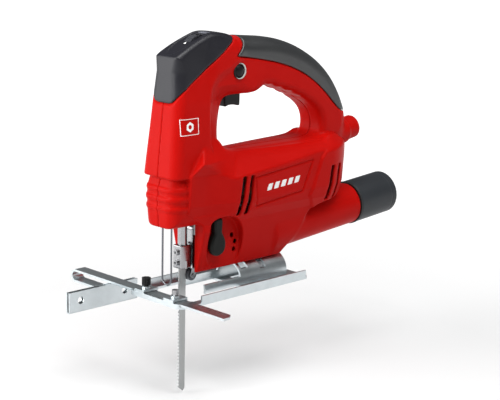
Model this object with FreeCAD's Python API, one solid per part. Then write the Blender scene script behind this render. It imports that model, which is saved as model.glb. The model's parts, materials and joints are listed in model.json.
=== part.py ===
import FreeCAD, Part
import math
import os

# Jigsaw power tool, modelled in millimetres as its separate pieces.
# +X points to the rear of the tool, +Z up, -Y to the tool's left-hand side.
# The origin is on the underside of the sole, in line with the saw blade.

V = FreeCAD.Vector
REACH = 400.0

# Housing
WALL = 2.5
GRIP_SKIN = 1.6
HANDLE_HALF = 15.5
BODY_HALF = 31.0
FOOT_X = 6.5
FOOT_Z = 20.5
HEAD_TOP_Z = 219.0
HEAD_SECTIONS = [(105.0, -28.0, 26.0), (165.0, -22.0, 19.5), (226.0, -17.5, 11.8)]
NOSE_SECTIONS = [(62.0, -26.0, 22.0), (90.0, -27.0, 25.0), (105.2, -23.5, 24.0)]
HEAD_SHOULDER_X = -10.0
RIB_COUNT = 3
RIB_PITCH = 8.0

# Suction tube and its pull-off adapter
TUBE_END_X = 204.0
TUBE_END_Z = 50.3
TUBE_PITCH = math.radians(4.6)
TUBE_R = 19.0
TUBE_BORE_R = 16.5
TUBE_START_X = 108.0
SLEEVE_R = 19.6
SLEEVE_BORE_R = 17.9
SLEEVE_LENGTH = 51.0
SPIGOT_R = 16.42
SPIGOT_LENGTH = 12.0

# Cord inlet
INLET_X = 208.0
INLET_Z = 122.3
INLET_PITCH = math.radians(9.0)
INLET_R = 10.5
INLET_BORE_R = 4.2
INLET_BORE_LENGTH = 12.0

# Motor, gear and crank
MOTOR_Z = 91.0
GEAR_TEETH = 40
PINION_TEETH = 8
GEAR_Z = MOTOR_Z + (GEAR_TEETH + PINION_TEETH) / 2.0
CRANK_R = 9.0
YOKE_Z = 108.0
SHAFT_R = 4.0
RUNNING = 0.04

# Plunger, clamp and blade
ROD_R = 4.0
ROD_TOP_Z = 156.0
CLAMP_BOTTOM_Z = 24.0
CLAMP_TOP_Z = 44.0
BLADE_WIDTH = 7.5
BLADE_HALF_THICKNESS = 0.55
BLADE_TIP_Z = -85.6
TOOTH_PITCH = 3.0
TOOTH_DEPTH = 1.4
TOOTH_COUNT = 26

# Pendulum action
ROLLER_X = 9.2
ROLLER_Z = 16.5
ROLLER_R = 5.1
FORK_PIVOT_X = 12.0
FORK_PIVOT_Z = 56.0
LEVER_X = 24.5
LEVER_Z = 42.0
RECESS_X = 33.0
RECESS_Z = 48.0
RECESS_R = 20.6
RECESS_FLOOR_Y = -12.4

# Shoe: sole plate and the half-round cradle it tilts on
SOLE_FRONT_X = -31.6
SOLE_REAR_X = 121.0
SOLE_HALF = 34.0
SHEET = 2.0
TILT_Z = 5.0
CRADLE_R = 16.2
CRADLE_FRONT_X = 54.0
CRADLE_REAR_X = 110.0
TILT_SCREW_X = 82.0

# Guide fence
BAR_X = -23.5
BAR_HALF = 5.8
BAR_Z = 2.4
BAR_THICK = 2.0
BRIDGE_Y = 18.4
FENCE_NEAR_Y = -82.0
FENCE_FAR_Y = 114.0
FENCE_PLATE_Y = 60.0

# Handle switch parts
TRIGGER_BOX = (41.0, 59.0, 5.5, 156.0, 178.0)
LOCK_X = 47.5
LOCK_Z = 187.0
LOCK_R = 5.2
DIAL_X = 12.0
DIAL_Z = 206.4
DIAL_R = 11.0

HOUSING_SCREWS = [(-14, 128), (25, 176), (88, 190), (168, 142), (138, 72), (62, 58)]


def box(x0, x1, y0, y1, z0, z1):
    return Part.makeBox(x1 - x0, y1 - y0, z1 - z0, V(x0, y0, z0))


def rod(radius, start, end):
    line = V(*end) - V(*start)
    return Part.makeCylinder(radius, line.Length, V(*start), line)


def tube(outer_r, inner_r, start, end):
    return rod(outer_r, start, end).cut(rod(inner_r, start, end))


def fuse(shapes):
    return shapes[0].multiFuse(shapes[1:]).removeSplitter()


def face_of(corners):
    """Flat face from corner points; a corner given as (mid, end) is an arc."""
    edges = []
    here = V(*corners[0])
    for corner in corners[1:] + corners[:1]:
        is_arc = isinstance(corner[0], tuple)
        end = V(*(corner[1] if is_arc else corner))
        if is_arc:
            edges.append(Part.Arc(here, V(*corner[0]), end).toShape())
        elif (end - here).Length > 1e-6:
            edges.append(Part.makeLine(here, end))
        here = end
    return Part.Face(Part.Wire(edges))


def lifted(corners, place):
    """The same outline with every flat point turned into a point in space."""
    out = []
    for corner in corners:
        if isinstance(corner[0], tuple):
            out.append((place(*corner[0]), place(*corner[1])))
        else:
            out.append(place(*corner))
    return out


def grown(face, amount):
    """The face with its outline moved outwards by amount, or inwards if negative."""
    if not amount:
        return face
    return Part.Face(face.OuterWire.makeOffset2D(amount, 2))


def side_plate(outline, y0, y1, grow=0.0):
    """Outline in X and Z, thick along Y."""
    face = face_of(lifted(outline, lambda x, z: (x, y0, z)))
    return grown(face, grow).extrude(V(0, y1 - y0, 0))


def front_plate(outline, x0, x1, grow=0.0):
    """Outline in Y and Z, thick along X."""
    face = face_of(lifted(outline, lambda y, z: (x0, y, z)))
    return grown(face, grow).extrude(V(x1 - x0, 0, 0))


def top_plate(outline, z0, z1, grow=0.0):
    """Outline in X and Y, thick along Z."""
    face = face_of(lifted(outline, lambda x, y: (x, y, z0)))
    return grown(face, grow).extrude(V(0, 0, z1 - z0))


def pipe(edges, radius):
    """Round wire that follows joined edges."""
    path = Part.Wire(edges)
    first = path.OrderedEdges[0]
    start = first.valueAt(first.FirstParameter)
    ring = Part.Wire(Part.makeCircle(radius, start, first.tangentAt(first.FirstParameter)))
    return path.makePipeShell([ring], True, True)


def mirrored_outline(half):
    """Closed outline from the points of its positive side, bottom to top."""
    return half + [(-y, z) for y, z in reversed(half)]


# ---------------------------------------------------------------- housing

BODY_SIDE = [(-20, 104.5), (-20, 80), (FOOT_X, 62), (FOOT_X, FOOT_Z), (104, FOOT_Z), (111, 32),
             (135, 62), (174, 65), ((180, 90), (175, 114)), (160, 124), (56, 121), (36, 123)]
BODY_FRONT = [(11.5, FOOT_Z - 0.5), (22, 62), (30, 80), (BODY_HALF, 103), (26, 112), (14, 124)]
BODY_PLAN = [(-20, -27), (-20, 27), (10, BODY_HALF), (150, BODY_HALF), ((172, 26), (180, 12)),
             (180, -12), ((172, -26), (150, -BODY_HALF)), (10, -BODY_HALF)]
HANDLE_OUTLINE = [(30, 95), (30, 218.2), (69, 213.2), ((131, 196.9), (177, 159.8)),
                  ((187, 141), (184, 120)), (178, 95)]
WINDOW_OUTLINE = [(58, 120), (134, 120), ((149, 124.5), (150, 134)), ((134, 152), (101, 167.2)),
                  (76, 169.5), (66, 163.2), (44, 163.2), ((36, 146), (41, 127)), ((48, 121.5), (58, 120))]
CAP_REGION = [(-60, 163), (-26, 163), ((6, 178), (32, 199)), ((46, 207), (55, 218)), (55, 240), (-60, 240)]
GRIP_REGION = [(57, 193), (64, 203), (68, 230), (215, 230), (215, 150), (186, 144), ((140, 184), (90, 193))]
HEAD_TOP_CUT = [(-60, 187.3), (25, HEAD_TOP_Z), (60, HEAD_TOP_Z), (60, 260), (-60, 260)]


def head_section(z, front_x, half, rear_x):
    """Section of the head: a curved front and straight sides."""
    outline = [(rear_x, -half), (HEAD_SHOULDER_X, -half), ((front_x, 0), (HEAD_SHOULDER_X, half)),
               (rear_x, half)]
    return face_of(lifted(outline, lambda x, y: (x, y, z))).OuterWire


def tapered_head(sections, rear_x, inset):
    wires = [head_section(z, front + inset, half - inset, rear_x) for z, front, half in sections]
    return Part.makeLoft(wires, True, True)


def tube_point(along):
    """Point on the suction tube's axis, measured rearwards from its mouth."""
    return (TUBE_END_X + along * math.cos(TUBE_PITCH), 0, TUBE_END_Z + along * math.sin(TUBE_PITCH))


def inlet_point(along):
    return (INLET_X + along * math.cos(INLET_PITCH), 0, INLET_Z + along * math.sin(INLET_PITCH))


def body_envelope(inset):
    """Motor and foot part of the housing: where three outlines cross."""
    side = side_plate(BODY_SIDE, -REACH / 4, REACH / 4, -inset)
    front = front_plate(mirrored_outline(BODY_FRONT), -REACH / 4, REACH, -inset)
    top = top_plate(BODY_PLAN, 0, REACH, -inset)
    return side.common(front).common(top)


def handle_envelope(inset):
    half = HANDLE_HALF - inset
    return side_plate(HANDLE_OUTLINE, -half, half, -inset)


def housing_envelope(inset):
    """The whole outer form, or with an inset the hollow inside it."""
    parts = [tapered_head(HEAD_SECTIONS, 42.0, inset), tapered_head(NOSE_SECTIONS, 30.0, inset)]
    parts.append(body_envelope(inset))
    parts.append(handle_envelope(inset))
    whole = fuse(parts)
    whole = whole.cut(side_plate(HEAD_TOP_CUT, -60, 60).translated(V(0, 0, -inset)))
    return whole.cut(side_plate(WINDOW_OUTLINE, -60, 60, inset))


def screw_bosses(outer):
    """Solid pillars across the housing for its screws."""
    pillars = [rod(4.6, (x, -REACH, z), (x, REACH, z)) for x, z in HOUSING_SCREWS]
    return [pillar.common(outer) for pillar in pillars]


def side_vent(x, z_low, z_high):
    """Slightly leaning slot through both side walls."""
    slot = box(x - 2.3, x + 2.3, -60, 60, z_low, z_high)
    slot.rotate(V(x, 0, z_low), V(0, 1, 0), 4.0)
    return slot


def housing_walls():
    """Hollow housing with its ribs and pillars, before openings are cut."""
    outer = housing_envelope(0).fuse(rod(TUBE_R, tube_point(-110), tube_point(0)))
    outer = outer.fuse(rod(INLET_R, inlet_point(-30), inlet_point(0)))
    hollow = housing_envelope(WALL)
    shell = outer.cut(hollow)
    cup = rod(RECESS_R + WALL, (RECESS_X, RECESS_FLOOR_Y + 2, RECESS_Z), (RECESS_X, -60, RECESS_Z))
    bearing_web = box(150, 157, -11, 11, 62, 125).cut(rod(9.5, (149, 0, MOTOR_Z), (158, 0, MOTOR_Z)))
    stator_webs = [box(x, x + 2, -40, 40, 62, 122).cut(rod(24, (x - 1, 0, MOTOR_Z), (x + 3, 0, MOTOR_Z)))
                   for x in (64, 94)]
    screw_pillar = rod(7, (TILT_SCREW_X, 0, FOOT_Z), (TILT_SCREW_X, 0, 29.5))
    inner = [cup, bearing_web, screw_pillar] + stator_webs
    shell = fuse([shell] + [piece.common(outer) for piece in inner] + screw_bosses(outer))
    bore = rod(TUBE_BORE_R, tube_point(-(TUBE_END_X - TUBE_START_X)), tube_point(20))
    return shell.cut(bore), outer


def housing_openings():
    """Everything that is cut through the housing's walls."""
    x0, x1, half, _, top = TRIGGER_BOX
    cuts = [
        box(-18.5, FOOT_X + 0.5, -11, 11, 55, 66),
        box(FOOT_X - 2, 22, -8, 8, FOOT_Z - 3, 64),
        rod(RECESS_R, (RECESS_X, RECESS_FLOOR_Y, RECESS_Z), (RECESS_X, -60, RECESS_Z)),
        rod(4.05, (LEVER_X, 0, LEVER_Z), (LEVER_X, -40, LEVER_Z)),
        rod(CRADLE_R + 0.5, (CRADLE_FRONT_X - 2, 0, TILT_Z), (CRADLE_REAR_X + 2, 0, TILT_Z)),
        rod(3.04, (TILT_SCREW_X, 0, 10), (TILT_SCREW_X, 0, 31)),
        box(x0 - 0.4, x1 + 0.4, -half - 0.4, half + 0.4, 150, top + 6),
        rod(LOCK_R + 0.2, (LOCK_X, -8, LOCK_Z), (LOCK_X, -30, LOCK_Z)),
        rod(LOCK_R + 1.6, (LOCK_X, -HANDLE_HALF, LOCK_Z), (LOCK_X, -30, LOCK_Z)),
        rod(INLET_BORE_R, inlet_point(-INLET_BORE_LENGTH), inlet_point(10)),
        rod(7.0, inlet_point(-28), inlet_point(-INLET_BORE_LENGTH)),
        box(DIAL_X - DIAL_R - 1, DIAL_X + DIAL_R + 1, -4.6, 4.6, DIAL_Z, 230),
    ]
    cuts += [side_vent(x, 67, 101) for x in (40, 49)]
    cuts += [side_vent(x, 66, 98) for x in (147, 158)]
    for x, z in HOUSING_SCREWS:
        cuts.append(rod(3.9, (x, 6, z), (x, 60, z)))
        cuts.append(rod(1.65, (x, -11, z), (x, 7, z)))
    panel = side_plate([(56, 98.5), (123, 105), (113, 79), (60, 73)], -40, -BODY_HALF + 1.0)
    return cuts + [panel]


def front_ribs():
    """Raised bands across the lower nose, one above the other."""
    bands = []
    for index in range(RIB_COUNT):
        z = 79.0 + index * RIB_PITCH
        bands.append(box(-40, -21, -30, 30, z - 1.6, z + 1.6))
    grown_nose = [(z, front - 0.9, half + 0.7) for z, front, half in NOSE_SECTIONS]
    skin = tapered_head(grown_nose, 30.0, 0).cut(tapered_head(NOSE_SECTIONS, 30.0, 0))
    return [band.common(skin) for band in bands]


def housing_pieces():
    walls, outer = housing_walls()
    cap_zone = side_plate(CAP_REGION, -60, 60)
    head_skin = tapered_head(HEAD_SECTIONS, 56.0, 0).fuse(handle_envelope(0))
    cap = walls.common(cap_zone).common(head_skin)
    walls = walls.cut(cap_zone)
    grip_core = handle_envelope(GRIP_SKIN)
    grip = handle_envelope(0).cut(grip_core).cut(side_plate(WINDOW_OUTLINE, -60, 60))
    grip = grip.common(side_plate(GRIP_REGION, -60, 60))
    walls = walls.cut(grip)
    walls = fuse([walls] + front_ribs())
    openings = housing_openings()
    walls = walls.cut(openings)
    cap = cap.cut(openings)
    left = walls.common(box(-REACH, REACH, -REACH, 0, -REACH, REACH))
    right = walls.common(box(-REACH, REACH, 0, REACH, -REACH, REACH))
    return {"housing_left": left, "housing_right": right, "front_cap": cap, "grip_overlay": grip}


def housing_screws():
    screws = []
    for x, z in HOUSING_SCREWS:
        head = rod(3.5, (x, 6, z), (x, 8.4, z))
        shank = rod(1.6, (x, -10, z), (x, 6, z))
        socket = rod(1.4, (x, 7.0, z), (x, 9, z))
        screws.append(head.fuse(shank).cut(socket))
    return Part.makeCompound(screws)


# ---------------------------------------------------------------- motor

def toothed_wheel(teeth, root_r, tip_r, x0, x1, centre_z, tooth_width, turn):
    """Spur wheel with narrow straight teeth that leave running clearance."""
    wheel = [rod(root_r, (x0, 0, centre_z), (x1, 0, centre_z))]
    for index in range(teeth):
        tooth = box(x0, x1, -tooth_width / 2, tooth_width / 2, centre_z + root_r - 0.4, centre_z + tip_r)
        tooth.rotate(V(0, 0, centre_z), V(1, 0, 0), turn + index * 360.0 / teeth)
        wheel.append(tooth)
    return fuse(wheel)


def armature_pieces():
    shaft = rod(SHAFT_R, (22, 0, MOTOR_Z), (160, 0, MOTOR_Z))
    pinion = toothed_wheel(PINION_TEETH, 3.0, 4.7, 14.8, 22, MOTOR_Z, 1.1, 180.0 / PINION_TEETH)
    core = tube(14.5, SHAFT_R, (62, 0, MOTOR_Z), (98, 0, MOTOR_Z))
    slots = []
    for index in range(12):
        slot = box(61, 99, -0.8, 0.8, MOTOR_Z + 10.5, MOTOR_Z + 15)
        slot.rotate(V(0, 0, MOTOR_Z), V(1, 0, 0), index * 30.0)
        slots.append(slot)
    windings = [tube(12.3, SHAFT_R, (x0, 0, MOTOR_Z), (x1, 0, MOTOR_Z)) for x0, x1 in ((54, 62), (98, 106))]
    commutator = tube(9.0, SHAFT_R, (109, 0, MOTOR_Z), (128, 0, MOTOR_Z))
    fan = [tube(21.0, SHAFT_R, (48.5, 0, MOTOR_Z), (50, 0, MOTOR_Z))]
    fan.append(tube(7.0, SHAFT_R, (40, 0, MOTOR_Z), (50, 0, MOTOR_Z)))
    for index in range(14):
        blade = box(41, 49, -0.6, 0.6, MOTOR_Z + 6.5, MOTOR_Z + 20.5)
        blade.rotate(V(0, 0, MOTOR_Z), V(1, 0, 0), index * 360.0 / 14)
        fan.append(blade)
    return {
        "armature_shaft": shaft.fuse(pinion),
        "armature_core": core.cut(slots),
        "armature_windings": Part.makeCompound(windings),
        "commutator": commutator,
        "cooling_fan": fuse(fan),
    }


def motor_frame_pieces():
    """Parts of the motor that stand still."""
    zone = tube(20.0, 15.8, (52, 0, MOTOR_Z), (108, 0, MOTOR_Z))
    coils = []
    for side in (1, -1):
        low, high = sorted((MOTOR_Z + side * 3.0, MOTOR_Z + side * 30.0))
        window = box(56, 104, -12, 12, low, high)
        coils.append(zone.common(box(50, 110, -30, 30, low, high)).cut(window))
    core = tube(24.0, 15.2, (60, 0, MOTOR_Z), (100, 0, MOTOR_Z)).cut(coils)
    holders, brushes, springs = [], [], []
    for side in (1, -1):
        y0, y1 = sorted((side * 10.5, side * 25.0))
        holder = box(113.5, 124.5, y0, y1, MOTOR_Z - 4.5, MOTOR_Z + 4.5)
        holders.append(holder.cut(box(115.5, 122.5, y0 - 1, y1 + 1, MOTOR_Z - 3, MOTOR_Z + 3)))
        y0, y1 = sorted((side * 9.4, side * 19.0))
        brushes.append(box(115.6, 122.4, y0, y1, MOTOR_Z - 2.9, MOTOR_Z + 2.9))
        springs.append(tube(2.5, 1.7, (119, side * 19.0, MOTOR_Z), (119, side * 24.5, MOTOR_Z)))
    front = tube(11.0, SHAFT_R + RUNNING, (24, 0, MOTOR_Z), (31, 0, MOTOR_Z))
    rear = tube(9.5, SHAFT_R + RUNNING, (150, 0, MOTOR_Z), (157, 0, MOTOR_Z))
    return {
        "stator_core": core,
        "field_coils": Part.makeCompound(coils),
        "brush_holders": Part.makeCompound(holders),
        "carbon_brushes": Part.makeCompound(brushes),
        "brush_springs": Part.makeCompound(springs),
        "front_bearing": front,
        "rear_bearing": rear,
    }


# ---------------------------------------------------------------- gearbox and plunger

def gearbox_pieces():
    hollow = housing_envelope(WALL)
    low_outline = [(-26, 72), (26, 72), (26, 96), (9, 112), (9, 122), (-9, 122), (-9, 112), (-26, 96)]
    low_back = front_plate(low_outline, 24, 31).common(hollow)
    high_back = box(24, 27.5, -6.2, 6.2, 120, 152)
    upper_arm = box(-7, 24, -10, 10, 141, 150)
    lower_arm = box(-20, 24, -9, 9, 66.5, 76)
    ears = [box(8.4, 15.6, y, y + 3, 51.5, 68) for y in (4.5, -7.5)]
    frame = fuse([low_back, high_back, upper_arm, lower_arm] + ears)
    frame = frame.cut(rod(2.0, (FORK_PIVOT_X, -9, FORK_PIVOT_Z), (FORK_PIVOT_X, 9, FORK_PIVOT_Z)))
    frame = frame.cut([rod(11.0, (23, 0, MOTOR_Z), (32, 0, MOTOR_Z)),
                       rod(4.0, (23, 0, GEAR_Z), (32, 0, GEAR_Z)),
                       rod(6.5, (0, 0, 60), (0, 0, 160))])
    frame = frame.cut([rod(0.8, (-17, y, 60), (-17, y, 73)) for y in (-5.5, 5.5)])
    frame = frame.cut([rod(4.6, (x, -REACH, z), (x, REACH, z)) for x, z in HOUSING_SCREWS])
    axle = rod(4.0, (14.8, 0, GEAR_Z), (31, 0, GEAR_Z))
    gear = toothed_wheel(GEAR_TEETH, 18.9, 20.6, 15, 20.5, GEAR_Z, 1.1, 0.0)
    gear = gear.fuse(rod(9, (20.5, 0, GEAR_Z), (23.6, 0, GEAR_Z)))
    gear = gear.cut(rod(SHAFT_R + RUNNING, (14, 0, GEAR_Z), (24, 0, GEAR_Z)))
    drop = YOKE_Z - GEAR_Z
    pin_y = math.sqrt(CRANK_R ** 2 - drop ** 2)
    pin = rod(2.0, (12.4, pin_y, YOKE_Z), (15, pin_y, YOKE_Z))
    roller = tube(3.0, 2.0, (12.5, pin_y, YOKE_Z), (14.6, pin_y, YOKE_Z))
    return {
        "gearbox_frame": frame,
        "gear_axle": axle,
        "drive_gear": fuse([gear, pin]),
        "crank_roller": roller,
        "upper_bush": tube(6.5, ROD_R + RUNNING, (0, 0, 140), (0, 0, 151)),
        "lower_bush": tube(6.5, ROD_R + RUNNING, (0, 0, 66.5), (0, 0, 77)),
    }


def blade_outline():
    """Side outline of the blade: plain shank above, teeth on the front edge below."""
    half = BLADE_WIDTH / 2
    outline = [(half, 40), (-half, 40), (-half, -TOOTH_PITCH)]
    for index in range(TOOTH_COUNT):
        z = -TOOTH_PITCH * (index + 1)
        outline.append((-half + TOOTH_DEPTH, z - 0.35 * TOOTH_PITCH))
        outline.append((-half, z - TOOTH_PITCH))
    outline.append((half - 2.0, BLADE_TIP_Z))
    outline.append((half, BLADE_TIP_Z + 2.5))
    return outline


def plunger_pieces():
    blade = side_plate(blade_outline(), -BLADE_HALF_THICKNESS, BLADE_HALF_THICKNESS)
    plunger = rod(ROD_R, (0, 0, CLAMP_TOP_Z - 4), (0, 0, ROD_TOP_Z))
    yoke = fuse([box(-6, 6, -7, 7, YOKE_Z - 6, YOKE_Z + 6),
                 box(6, 12.1, -14.5, 14.5, YOKE_Z - 6, YOKE_Z + 6)])
    yoke = yoke.cut(box(8.5, 13, -12.5, 12.5, YOKE_Z - 3.2, YOKE_Z + 3.2))
    yoke = yoke.cut(plunger)
    clamp = box(-6, 6, -5, 5, CLAMP_BOTTOM_Z, CLAMP_TOP_Z)
    clamp = clamp.fuse(rod(5.0, (1.0, 0, CLAMP_BOTTOM_Z), (1.0, 0, CLAMP_TOP_Z)))
    clamp = clamp.cut([blade, plunger])
    screws = []
    for z in (29.0, 38.0):
        clamp = clamp.cut(rod(1.5, (-7, 0, z), (-4.2, 0, z)))
        screw = rod(2.6, (-8.0, 0, z), (-6.0, 0, z)).fuse(rod(1.5, (-6.0, 0, z), (-4.2, 0, z)))
        screws.append(screw.cut(rod(1.1, (-8.5, 0, z), (-6.8, 0, z))))
    return {
        "saw_blade": blade,
        "plunger_rod": plunger,
        "crank_yoke": yoke,
        "blade_clamp": clamp,
        "clamp_screws": Part.makeCompound(screws),
    }


def pendulum_pieces():
    head = rod(4.0, (FORK_PIVOT_X, -4, FORK_PIVOT_Z), (FORK_PIVOT_X, 4, FORK_PIVOT_Z))
    arm = box(8.2, 13.0, -4.0, 4.0, 24, FORK_PIVOT_Z).fuse(head)
    arm = arm.cut(rod(2.0 + RUNNING, (FORK_PIVOT_X, -9, FORK_PIVOT_Z), (FORK_PIVOT_X, 9, FORK_PIVOT_Z)))
    cheek = [(13.0, 30), (8.2, 30), (8.2, 22), (ROLLER_X - 2.6, 19),
             ((ROLLER_X, 13.4), (ROLLER_X + 2.8, 18)), (13.0, 24)]
    cheeks = [side_plate(cheek, 2.8, 4.0), side_plate(cheek, -4.0, -2.8)]
    pin_ends = ((ROLLER_X, -4.8, ROLLER_Z), (ROLLER_X, 4.8, ROLLER_Z))
    roller_room = rod(ROLLER_R + 0.6, (ROLLER_X, -2.8, ROLLER_Z), (ROLLER_X, 2.8, ROLLER_Z))
    fork = fuse([arm] + cheeks).cut([roller_room, rod(1.5, *pin_ends)])
    roller = tube(ROLLER_R, 1.5 + RUNNING, (ROLLER_X, -2.4, ROLLER_Z), (ROLLER_X, 2.4, ROLLER_Z))
    groove = tube(ROLLER_R + 1, ROLLER_R - 1.0, (ROLLER_X, -0.9, ROLLER_Z), (ROLLER_X, 0.9, ROLLER_Z))
    pivot = rod(2.0, (FORK_PIVOT_X, -7.5, FORK_PIVOT_Z), (FORK_PIVOT_X, 7.5, FORK_PIVOT_Z))
    knob = rod(9.3, (LEVER_X, -18.6, LEVER_Z), (LEVER_X, RECESS_FLOOR_Y - 0.3, LEVER_Z))
    blade = side_plate([(LEVER_X - 6.8, LEVER_Z + 4), (LEVER_X - 4.6, 61),
                        ((LEVER_X, 66), (LEVER_X + 4.6, 61)), (LEVER_X + 6.8, LEVER_Z + 4)],
                       -18.6, RECESS_FLOOR_Y - 0.3)
    shaft = rod(4.0, (LEVER_X, RECESS_FLOOR_Y - 0.3, LEVER_Z), (LEVER_X, 7, LEVER_Z))
    cam = rod(5.2, (LEVER_X + 0.6, -4, LEVER_Z), (LEVER_X + 0.6, 4, LEVER_Z))
    return {
        "pendulum_fork": fork,
        "fork_pivot_pin": pivot,
        "guide_roller": roller.cut(groove),
        "roller_pin": rod(1.5, *pin_ends),
        "pendulum_lever": knob.fuse(blade),
        "lever_camshaft": shaft.fuse(cam),
    }


# ---------------------------------------------------------------- shoe and fence

def sole_plate():
    corner = 9.0
    inner = corner * (1 - math.sqrt(0.5))
    x0, x1, w = SOLE_FRONT_X, SOLE_REAR_X, SOLE_HALF
    outline = [(x0, w - corner), ((x0 + inner, w - inner), (x0 + corner, w)), (x1 - 4, w), (x1, w - 4),
               (x1, -w + 4), (x1 - 4, -w), (x0 + corner, -w), ((x0 + inner, -w + inner), (x0, -w + corner))]
    plate = top_plate(outline, 0, SHEET)
    lip = top_plate(outline, 0, 4.2).cut(top_plate(outline, -1, 5, -1.6))
    lip = lip.common(box(x0 - 1, x0 + 12, -w - 1, w + 1, 0, 4.2))
    bar_way = box(BAR_X - BAR_HALF - 0.4, BAR_X + BAR_HALF + 0.4, -w - 1, w + 1, SHEET, 6)
    lip = lip.cut(bar_way)
    flanges = [box(-8, 116, y, y + 1.6, 0, 8.0) for y in (w - 1.6, -w)]
    plate = fuse([plate, lip] + flanges)
    window = top_plate([(-13, -23), (-13, 23), (-10, 26), (52, 26), (52, -26), (-10, -26)], -1, 5)
    return plate.cut([window, box(64, 100, -9, 9, -1, 5)])


def cradle():
    arch = tube(CRADLE_R, CRADLE_R - SHEET, (CRADLE_FRONT_X, 0, TILT_Z), (CRADLE_REAR_X, 0, TILT_Z))
    arch = arch.common(box(CRADLE_FRONT_X - 1, CRADLE_REAR_X + 1, -20, 20, SHEET, 30))
    rails = tube(CRADLE_R, CRADLE_R - SHEET, (12, 0, TILT_Z), (CRADLE_FRONT_X, 0, TILT_Z))
    rails = rails.common(box(11, CRADLE_FRONT_X + 1, -20, 20, SHEET, 9.5))
    arch = arch.fuse(rails)
    slot_low = TILT_Z + (CRADLE_R - SHEET) * math.cos(math.radians(60))
    slot = box(TILT_SCREW_X - 3.5, TILT_SCREW_X + 3.5, -20, 20, slot_low, 30)
    notch = box(57, 65, -13.5, -6, 15, 30)
    return arch.cut([slot, notch])


def bridges():
    outline = [(-31.4, 4.2), (-31.4, 6.5), (-15.6, 6.5), (-15.6, SHEET), (-17.2, SHEET), (-17.2, 4.8),
               (-29.9, 4.8), (-29.9, 4.2)]
    spans = []
    for side in (1, -1):
        y = side * BRIDGE_Y
        span = side_plate(outline, y - 6, y + 6).fuse(rod(4.0, (BAR_X, y, 6.5), (BAR_X, y, 8.3)))
        spans.append(span.cut(rod(2.05, (BAR_X, y, 4), (BAR_X, y, 9))))
    return Part.makeCompound(spans)


def thumbscrew(y, head_r, head_z):
    stud = rod(2.0, (BAR_X, y, 4.8), (BAR_X, y, 9.5))
    head = rod(head_r, (BAR_X, y, 9.5), (BAR_X, y, head_z))
    flutes = []
    for index in range(8):
        angle = index * math.pi / 4
        x = BAR_X + head_r * 1.12 * math.cos(angle)
        side = y + head_r * 1.12 * math.sin(angle)
        flutes.append(rod(head_r * 0.22, (x, side, 9), (x, side, head_z + 1)))
    return stud.fuse(head.cut(flutes))


def shoe_pieces():
    plate = tube(CRADLE_R - SHEET - 0.3, 11.5, (73, 0, TILT_Z), (91, 0, TILT_Z))
    plate = plate.common(box(72, 92, -6, 6, 15.8, 30))
    plate = plate.cut(rod(3.04, (TILT_SCREW_X, 0, 10), (TILT_SCREW_X, 0, 30)))
    screw = rod(3.0, (TILT_SCREW_X, 0, 15.5), (TILT_SCREW_X, 0, 29))
    head = rod(5.0, (TILT_SCREW_X, 0, 10.5), (TILT_SCREW_X, 0, 15.5))
    hexagon = Part.makePolygon([V(TILT_SCREW_X + 2.9 * math.cos(k * math.pi / 3),
                                  2.9 * math.sin(k * math.pi / 3), 9) for k in range(7)])
    socket = Part.Face(hexagon).extrude(V(0, 0, 4.5))
    return {
        "sole_plate": sole_plate(),
        "tilt_cradle": cradle(),
        "fence_bridges": bridges(),
        "far_thumbscrew": thumbscrew(BRIDGE_Y, 3.8, 15.5),
        "near_thumbscrew": thumbscrew(-BRIDGE_Y, 3.0, 13.0),
        "tilt_clamp_plate": plate,
        "tilt_clamp_screw": screw.fuse(head).cut(socket),
    }


def fence_pieces():
    x0, x1 = BAR_X - BAR_HALF, BAR_X + BAR_HALF
    bend_y = FENCE_FAR_Y - 5.8
    bend_z = BAR_Z + BAR_THICK - 5.8
    plate_face = FENCE_PLATE_Y + 2.2
    upper = box(x0, x1, FENCE_NEAR_Y, bend_y, BAR_Z, BAR_Z + BAR_THICK)
    bend = tube(5.8, 3.8, (x0, bend_y, bend_z), (x1, bend_y, bend_z))
    bend = bend.common(box(x0, x1, bend_y, bend_y + 10, -20, 20))
    low = bend_z - 5.8
    lower = box(x0, x1, plate_face, bend_y, low, low + BAR_THICK)
    tab = box(x0, x1, plate_face, plate_face + BAR_THICK, low - 5.5, low + BAR_THICK)
    bar = fuse([upper, bend, lower, tab])
    clip = Part.Face(Part.makePolygon([V(x1 - 5, FENCE_NEAR_Y, 0), V(x1, FENCE_NEAR_Y, 0),
                                       V(x1, FENCE_NEAR_Y + 4, 0), V(x1 - 5, FENCE_NEAR_Y, 0)]))
    bar = bar.cut(clip.extrude(V(0, 0, 8)))
    y0, y1 = FENCE_PLATE_Y - 2.2, plate_face
    top = BAR_Z - 0.4
    leaf = [(y0, top), (y0, -14.4), ((FENCE_PLATE_Y, -16.6), (y1, -14.4)), (y1, top), (y1 - 1.3, top),
            (y1 - 1.3, -14.4), ((FENCE_PLATE_Y, -15.3), (y0 + 1.3, -14.4)), (y0 + 1.3, top)]
    folded = front_plate(leaf, -74, 0)
    holes = [rod(3.25, (x, y0 - 1, -6), (x, y1 + 1, -6)) for x in (-62, -14)]
    rivets = []
    for x in (-26.5, -20.5):
        z = low - 2.2
        folded = folded.cut(rod(1.0, (x, y1 - 1.4, z), (x, y1 + 1, z)))
        bar = bar.cut(rod(1.0, (x, y1 - 1, z), (x, y1 + 3, z)))
        rivet = rod(1.0, (x, y1 - 1.3, z), (x, y1 + BAR_THICK, z))
        rivets.append(rivet.fuse(rod(1.9, (x, y1 + BAR_THICK, z), (x, y1 + BAR_THICK + 0.9, z))))
    return {"fence_bar": bar, "fence_plate": folded.cut(holes), "fence_rivets": Part.makeCompound(rivets)}


# ---------------------------------------------------------------- controls and small parts

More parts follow.
